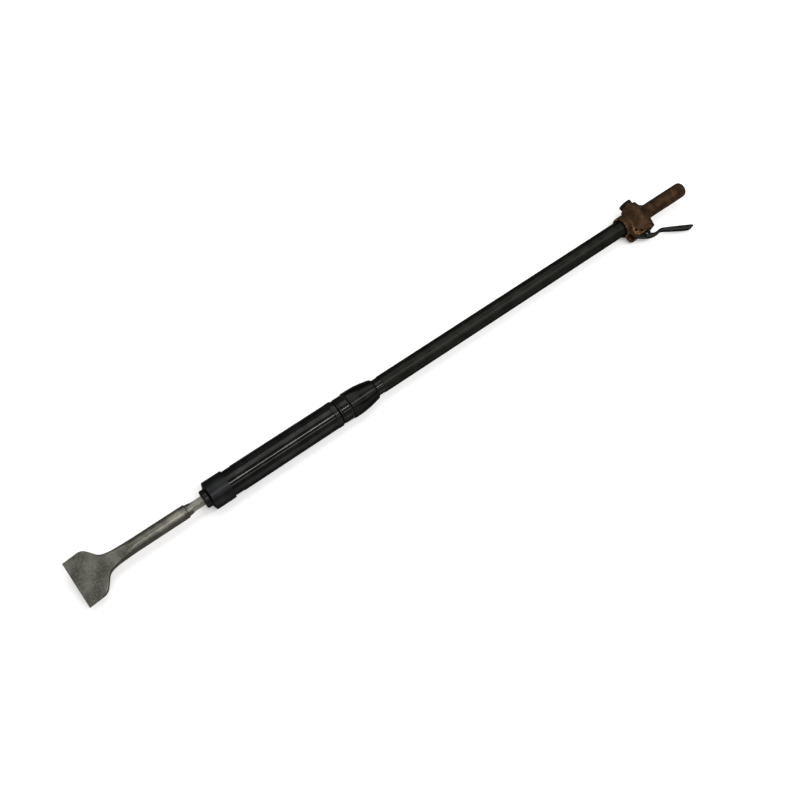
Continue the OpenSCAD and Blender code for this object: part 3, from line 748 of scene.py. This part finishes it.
def make_rings():
    """The lock ring, its washer, the spacer ring and the seal behind the coupling."""
    x0, x1 = LOCK_RING_X, BARREL_X
    line = profile([(x0, RING_BORE_R, 0.2), (x0, 19.5, 0.2), (x0 + 3.2, BARREL_R + 0.5, 0.5),
                    (x1 - 0.8, BARREL_R + 0.5, 0.3), (x1, BARREL_R - 0.1, 0.2),
                    (x1, RING_BORE_R, 0.2)], pitch=1)
    points, faces = turned(line, flats(BARREL_R * 2, 6, RIDGE_TURN, 0.25))
    add_piece("lock_ring", points, faces, SATIN_BLACK, "hammer", "satin_black", ["barrel_lock_ring"])
    line = profile([(WASHER_X, RING_BORE_R, 0.1), (WASHER_X, 20.8, 0.4), (x0, 20.8, 0.4),
                    (x0, RING_BORE_R, 0.1)])
    add_piece("washer", *turned(line), SATIN_BLACK, "hammer", "satin_black", ["lock_washer"])
    line = profile([(SPACER_X, RING_BORE_R, 0.2), (SPACER_X, 21.5, 0.7), (WASHER_X - 0.5, 21.5, 0.8),
                    (WASHER_X - 0.02, 20.4, 0.2), (WASHER_X - 0.02, RING_BORE_R, 0.2)], pitch=3)
    add_piece("spacer", *turned(line), GLOSS_BLACK, "hammer", "satin_black", ["spacer_ring"])
    line = profile([(COUPLING_FRONT_X + 0.05, RING_BORE_R, 0.3), (COUPLING_FRONT_X + 0.05, 20.3, 0.9),
                    (SPACER_X - 0.05, 20.3, 0.9), (SPACER_X - 0.05, RING_BORE_R, 0.3)])
    add_piece("seal_ring", *turned(line), RUBBER, "hammer", "rubber", ["coupling_seal"])


def make_coupling():
    """A turned ogive with six flats, which run out on it as curves."""
    x0, x1 = COUPLING_X, COUPLING_FRONT_X
    ogive = [(x1 - d, 23.75 - d * d / 420) for d in np.linspace(50.5, 3, 40)]
    line = profile([(x0, NECK_R + 0.05, 0.3), (x0, 16.7, 1.3)] + ogive
                   + [(x1 - 1.2, 23.4, 0.6), (x1, 21.8, 0.5), (x1, RING_BORE_R, 0.2),
                      (x1 - 23, RING_BORE_R, 0.2), (x1 - 23, 9, 0.2), (TUBE_FRONT_X + 2, 9, 0.2),
                      (TUBE_FRONT_X + 2, NECK_R + 0.05, 0.2)])
    points, faces = turned(line, flats(45, 6, RIDGE_TURN, 0.5), sides=240)
    add_piece("coupling", points, faces, COUPLING_BLACK, "hammer", "satin_black", ["tube_coupling"])


def make_tube():
    """Long drawn tube, turned down and polished where it enters the coupling."""
    neck = COUPLING_X - 14
    stops = [(TUBE_X + 3 + (neck - TUBE_X - 6) * t, TUBE_R) for t in np.linspace(0, 1, 60)]
    line = profile([(TUBE_X, TUBE_BORE_R, 0.4), (TUBE_X, TUBE_R, 0.5)] + stops
                   + [(neck, TUBE_R, 0.4), (neck, NECK_R - 0.3, 0.1), (neck, TUBE_BORE_R)])
    # Long drawn tube, turned down and given a polish where it enters the coupling.
    add_piece("tube", *turned(line), TUBE_BLACK, "hammer", "tube_black", ["handle_tube"])
    line = profile([(neck + 0.02, TUBE_BORE_R), (neck + 0.02, NECK_R, 0.1), (neck + 7, NECK_R),
                    (TUBE_FRONT_X, NECK_R, 0.4), (TUBE_FRONT_X, TUBE_BORE_R, 0.4)])
    add_piece("tube_neck", *turned(line), GLOSS_BLACK, "hammer", "tube_black")


# ---------------------------------------------------------------- throttle
def cast_outline(s, v):
    """The casting before it is machined: grip, boss, hub and the lever's block, blended."""
    # The end's round is longer along the grip than across it
    end, end_r = 5.8, 5.3
    drawn = np.where(s.x < end, end + (s.x - end) * end_r / end, s.x)
    rho = np.hypot(s.y, s.z)
    grip = s.bar(rho + 0.0028 * (s.x - 10), drawn, 13.9, end - end_r, v, end_r)
    boss = s.bar_y(16.5, -24.6, 24, x=v, rounding=1.5)
    shoulder = s.bar_y(12.2, -27.4, 0, x=v, rounding=0.5)
    hub = s.bar_x(19.4, v - 4, HUB_FACE_X, rounding=2.2)
    mouth = s.bar_x(18.6, v, HUB_FACE_X, rounding=0.8)
    body = soft_min(grip, boss, 13.0)
    body = soft_min(body, soft_min(hub, mouth, 1.2), 5.0)
    body = soft_min(body, cast_block(s, v), 3.0)
    return soft_min(body, shoulder, 0.8)


def cast_block(s, v):
    """The lever's block. Its near cheek is cut back at the front, and the far one stands ahead."""
    front, far_front, top = v + 33, v + 37.2, 31.6
    taper = 1 + 0.28 * np.clip((v - 3 - s.x) / 11, 0, 1)
    near = s.block((v - 14, 0, -13.4), (front, top, 11.7), 2.6, z=s.z * taper)
    slope = ((s.x - front) + (s.z - 11.7)) / math.sqrt(2) + 3.4
    crown = ((s.x - front) + (s.y - top)) / math.sqrt(2) + 2.6
    near = soft_max(soft_max(near, slope, 3.0), crown, 3.0)
    far = s.block((v, 0, -13.4), (far_front, top, -4), 1.8)
    crown = ((s.x - far_front) + (s.y - top)) / math.sqrt(2) + 2.2
    return soft_min(near, soft_max(far, crown, 3.0), 0.5)


def bored_inlet(s):
    """Cuts for the pipe thread, a groove that winds along the bore, and its mouth."""
    rho = np.hypot(s.y, s.z)
    wind = (s.x / 1.81 + np.arctan2(s.z, s.y) / (2 * math.pi)) % 1
    thread = 7.75 + 0.8 * (1 - 2 * np.abs(wind - 0.5))
    return [np.maximum(rho - thread, s.x - 22), np.maximum(rho - (8.9 - s.x), s.x - 1.2),
            s.bar_x(8.4, 22, 25.5)]


def machined_bores(s, v):
    """Cuts for the tube, the throttle valve, the air ways, the lever's slot and the cross pins."""
    tube = [s.bar_x(14.9, TUBE_X - 2, HUB_FACE_X + 4), s.bar_x(16.2, HUB_FACE_X - 3.5, HUB_FACE_X + 4),
            s.bar_x(12.5, TUBE_X - 5, TUBE_X + 1)]
    air = [s.bar_x(5, 24, v, y=-4), s.bar_x(3.8, v, TUBE_X - 3, y=8)]
    valve = [s.bar_y(9, -40, -15.6, x=v), s.bar_y(8.2, -16, 6.5, x=v), s.bar_y(6.5, 5.5, 16, x=v),
             s.bar_y(3.06, 15, 21, x=v), s.bar_y(5.25, 20.2, 40, x=v)]
    slot = [s.block((v + 7, 18.4, -5.3), (v + 13, 60, 5.3), 0.3),
            s.block((v + 11, 18.4, -5.3), (v + 50, 60, 1.5), 0.3)]
    pins = []
    for pin, r in ((PIVOT, 2.1), (STOP_PIN, 1.7)):
        pins += [s.bar_z(r, -30, 30, x=pin.x, y=pin.y), s.bar_z(r + 0.8, 7, 30, x=pin.x, y=pin.y)]
    return tube + air + valve + slot + pins


def mark_rubbed_and_highlight(piece, points, v):
    """Writes an attribute from 0 to 1 on the near cheek: polish where cross pins and thumbs have worn it, which
    also paints a highlight there, beside the pins and along the cheek's front.
    """
    # the spots also paint highlights: by the pivot pin, by the stop pin, and in a strip along the near cheek's
    # rounded front
    spots = [(PIVOT.x + 1, PIVOT.y + 4, 5.5, 1.6), (STOP_PIN.x + 2, STOP_PIN.y + 3, 2.6, 5.0),
             (v + 29, 16, 1.6, 9)]
    rub_and_highlight = np.zeros(len(points))
    for x, y, reach_x, reach_y in spots:
        rub_and_highlight += np.exp(-((points[:, 0] - x) / reach_x) ** 2 - ((points[:, 1] - y) / reach_y) ** 2)
    rub_and_highlight *= points[:, 2] > 7
    attribute = piece.data.attributes.new("rubbed_and_highlight", "FLOAT", "POINT")
    attribute.data.foreach_set("value", np.clip(rub_and_highlight, 0, 1).astype(np.float32))


def make_throttle_body():
    """One casting, bored and slotted."""
    s = Solid((-2, -30, -21), (HUB_FACE_X + 2, 36, 21), 0.45)
    v = VALVE_X
    body = cast_outline(s, v)
    # A round mark on the grip, as from a filled core hole, deeper at its front
    mark = np.maximum(np.hypot(s.x - 28, s.y + 0.4) - 4.6, 12.8 - 0.24 * (s.x - 28) - s.z)
    body = soft_max(body, -mark, 0.15)
    for cut in bored_inlet(s) + machined_bores(s, v):
        body = soft_max(body, -cut, 0.35)
    points, quads = s.mesh(body)
    turned_back = points @ np.array(FROM_THROTTLE).T
    piece = add_piece("throttle_casting", turned_back, quads, BRONZE, "hammer", "bronze", ["throttle_body"],
                      sharp=60)
    roughen(piece, 5.0, 0.16)
    roughen(piece, 1.6, 0.07, seed=11)
    mark_worn(piece, 24, 0.55)
    mark_rubbed_and_highlight(piece, points, v)


# The lever's side, as distances along the tool from the throttle valve and out from its axis
LEVER_OUTLINE = [(29.2, 29.2), (24, 33), (16, 38.6), (8.5, 43), (1, 45.5), (-6, 46.9), (-12, 46.8),
                 (-19, 45.8), (-23.5, 46.7), (-30.5, 51.2), (-41, 57.1), (-60, 67.3), (-69, 71.2),
                 (-74.6, 72.5), (-78.6, 71.3), (-78.2, 67.9), (-70, 64.0), (-60, 59.0), (-49.6, 53.9),
                 (-39, 48.8), (-27.2, 43.5), (-22.6, 41.6), (-17.6, 41.1), (-9.4, 41.9), (-5.6, 41.9),
                 (-2.2, 40.7), (0.6, 38.3), (3.4, 37.9), (9.6, 36.2), (10.4, 30), (12, 24.4), (14, 21.6),
                 (17.4, 20.9), (20.8, 22.0), (28.6, 22.1)]


def make_lever():
    v = VALVE_X
    low, high = v - 82, v + 32
    s = Solid((low, 18, -7), (high, 74, 7), 0.32)
    line = smoothed([(v + x, y) for x, y in LEVER_OUTLINE])
    flat = inside_outline(s.x[:, :, 0], s.y[:, :, 0], line)[:, :, None]
    half = 5.1 + 0.45 * np.clip((v - 50 - s.x) / 26, 0, 1) ** 1.5
    edge = 0.7
    side = flat + edge
    cap = np.abs(s.z) - half + edge
    outside = np.sqrt(np.maximum(side, 0) ** 2 + np.maximum(cap, 0) ** 2)
    body = outside + np.minimum(np.maximum(side, cap), 0) - edge
    # The tang in the slot is thinner than the strip
    body = soft_max(body, -s.block((v + 11.6, 10, 1.1), (v + 50, 90, 20)), 0.5)
    body = soft_max(body, -s.bar_z(2.05, -30, 30, x=PIVOT.x, y=PIVOT.y), 0.2)
    points, quads = s.mesh(body)
    piece = add_piece("lever", points @ np.array(FROM_THROTTLE).T, quads, DARK_STEEL, "lever", "dark_steel",
                      ["throttle_lever"], sharp=60)
    roughen(piece, 4.0, 0.08, seed=3)
    mark_worn(piece, 16, 0.4)


def make_valve_parts():
    """The knurled cap, the plunger with its gland, and the two cross pins."""
    v = VALVE_X

    def knurl(x, r, angles):
        if not -34.2 < x < -29.6 or r < 9:
            return np.full_like(angles, r)
        fade = min(1.0, (x + 34.2) / 0.6, (-29.6 - x) / 0.6)
        return r + 0.15 * fade * (np.abs((angles * 40 / (2 * math.pi)) % 1 - 0.5) * 4 - 1)

    line = profile([(-34.5, 0), (-34.5, 4.0), (-34.1, 4.6), (-34.1, 6.0), (-34.5, 6.6), (-34.5, 12.05, 0.5),
                    (-28.5, 12.05, 0.5), (-28.5, 8.95, 0.2), (-17, 8.95, 0.5), (-17, 7.1), (-25, 7.1),
                    (-25, 0)], closed=False, pitch=0.7)
    points, faces = turned(line, knurl, sides=240)
    add_piece("knurled_cap", placed(points, (v, 0, 0), ALONG_LEVER), faces, SATIN_BLACK, "hammer",
              "satin_black", ["valve_cap"])
    line = profile([(22, 3.06, 0), (22, 5.18, 0.2), (31.5, 5.18, 0.1), (31.5, 7, 0.2), (33, 7, 0.5),
                    (33, 3.06, 0.4)])
    points, faces = turned(line, sides=96)
    add_piece("gland", placed(points, (v, 0, 0), ALONG_LEVER), faces, SATIN_BLACK, "hammer", "satin_black",
              ["plunger_gland"])
    line = profile([(15.01, 0), (15.01, 3, 0.2), (35.9, 3, 1.0), (37.7, 1.2, 1.0), (37.7, 0)],
                   closed=False, pitch=3)
    points, faces = turned(line, sides=64)
    add_piece("push_pin", placed(points, (v, 0, 0), ALONG_LEVER), faces, DARK_STEEL, "throttle_plunger",
              "dark_steel", ["plunger"])
    for name, x, y, r, node in (("pivot_pin", PIVOT.x, PIVOT.y, 1.99, "lever_pivot_pin"),
                                ("stop_pin", STOP_PIN.x, STOP_PIN.y, 1.59, "lever_stop_pin")):
        line = profile([(-11.8, 0), (-11.8, r, 0.3), (6.4, r, 0.3), (6.4, 0)], closed=False)
        points, faces = turned(line, sides=48)
        add_piece(name, placed(points, (x, y, 0), ACROSS_LEVER), faces, DARK_STEEL, "hammer",
                  "dark_steel", [node])


# ---------------------------------------------------------------- studio, in metres
FLOOR_REACH = 14.0
CAMERA_PLACE = (1.10862, 0.59116, 1.21190)
HALF_PIXEL = 0.5 / 800     # the photograph's pixels are placed by their corners
BOX_LENGTH, BOX_DISTANCE, BOX_CENTRE_X = 3.4, 2.6, -0.1
WORLD_GLOW = 0.48


def add_floor():
    mesh = bpy.data.meshes.new("floor")
    reach = FLOOR_REACH
    mesh.from_pydata([(-reach, -reach, FLOOR_Z), (reach, -reach, FLOOR_Z), (reach, reach, FLOOR_Z),
                      (-reach, reach, FLOOR_Z)], [], [(0, 1, 2, 3)])
    mesh.materials.append(pale_floor())
    floor = bpy.data.objects.new("floor", mesh)
    bpy.context.scene.collection.objects.link(floor)


def add_camera():
    camera = bpy.data.cameras.new("camera")
    camera.sensor_width = 36.0
    camera.lens = 39.15
    camera.clip_end = 60.0
    camera.shift_x = -HALF_PIXEL
    camera.shift_y = HALF_PIXEL
    right = Vector((-0.79459, 0.60714, 0))
    up = Vector((-0.52763, -0.69052, 0.49476))
    back = Vector((0.30039, 0.39313, 0.86903))
    turn = Matrix((right, up, back)).transposed()
    holder = bpy.data.objects.new("camera", camera)
    holder.matrix_world = Matrix.Translation(CAMERA_PLACE) @ turn.to_4x4()
    bpy.context.scene.collection.objects.link(holder)
    bpy.context.scene.camera = holder


def add_light(name, angle, width, glow, colour):
    """A long soft box over the tool, at an angle about its axis from +Y in degrees, that faces it."""
    light = bpy.data.lights.new(name, "AREA")
    light.shape = "RECTANGLE"
    light.size = BOX_LENGTH
    light.size_y = width
    light.energy = glow * math.pi * BOX_LENGTH * width
    light.color = colour
    holder = bpy.data.objects.new(name, light)
    towards = Vector((0, math.cos(math.radians(angle)), math.sin(math.radians(angle))))
    across = Vector((1, 0, 0)).cross(towards)
    turn = Matrix((Vector((1, 0, 0)), across, towards)).transposed()
    place = Vector((BOX_CENTRE_X, 0, 0)) + towards * BOX_DISTANCE
    holder.matrix_world = Matrix.Translation(place) @ turn.to_4x4()
    bpy.context.scene.collection.objects.link(holder)


def add_lights():
    bpy.context.scene.view_settings.view_transform = "Standard"
    world = bpy.data.worlds.new("studio")
    world.use_nodes = True
    background = world.node_tree.nodes["Background"]
    background.inputs["Color"].default_value = (1.0, 1.0, 0.98, 1)
    background.inputs["Strength"].default_value = WORLD_GLOW
    bpy.context.scene.world = world
    add_light("key_strip", 63.5, 0.15, 30.0, (0.99, 0.98, 1.0))
    add_light("side_strip", 38, 0.20, 5.5, (1.0, 0.94, 0.86))
    add_light("overhead_panel", 108, 1.60, 2.0, (1.0, 1.0, 0.95))


add_camera()
add_floor()
add_lights()
paint_cad_nodes()
make_chisel()
make_sleeve()
make_bushing()
make_barrel()
make_rings()
make_coupling()
make_tube()
make_throttle_body()
make_lever()
make_valve_parts()
